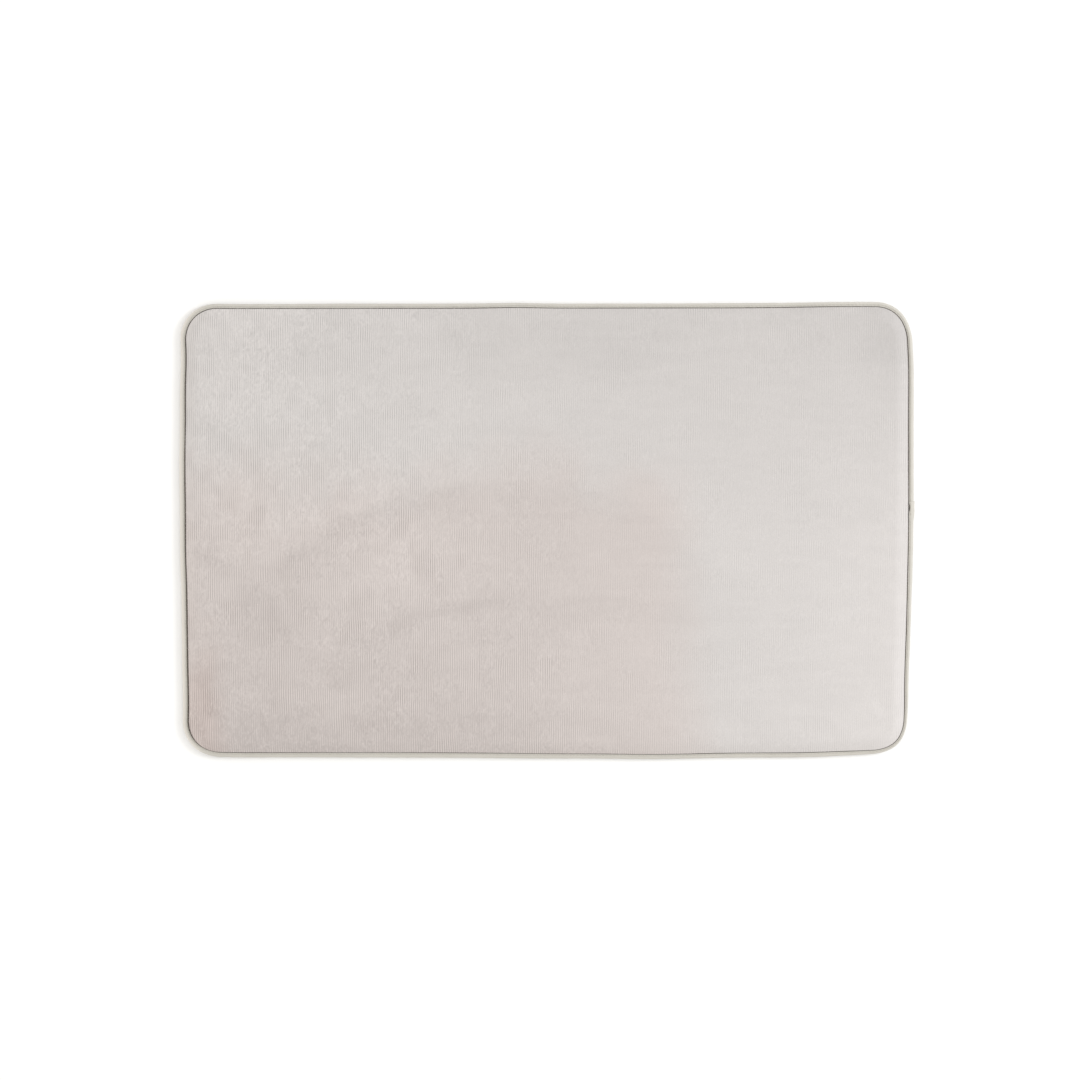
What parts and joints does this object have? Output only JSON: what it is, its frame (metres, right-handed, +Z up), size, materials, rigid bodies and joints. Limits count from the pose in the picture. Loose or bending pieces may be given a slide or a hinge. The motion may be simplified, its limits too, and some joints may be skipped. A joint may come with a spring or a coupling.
{
  "type": "bath mat",
  "caption": "Rounded rectangular plush bath mat with a foam core, a tape-bound edge and an anti-slip dotted underside.",
  "frame": {"origin": "on the floor plane under the middle of the mat", "axes": "+X along the mat's length, +Y across its width, +Z up out of the pile"},
  "size_m": [0.8, 0.5, 0.014],
  "materials": {
    "pile": "matte",
    "adhesive": "satin",
    "foam": "matte",
    "backing": "matte",
    "grip": "satin",
    "binding": "matte",
    "thread": "satin",
    "label": "satin"
  },
  "bodies": {
    "root": {"pile_cover": "pile", "cover_web": "adhesive", "foam_core": "foam", "backing_web": "adhesive", "backing_cloth": "backing", "grip_dots": "grip", "edge_overlock": "thread", "binding_tape": "binding", "needle_thread": "thread", "bobbin_thread": "thread", "care_label": "label", "label_stitches": "thread"}
  },
  "joints": []
}
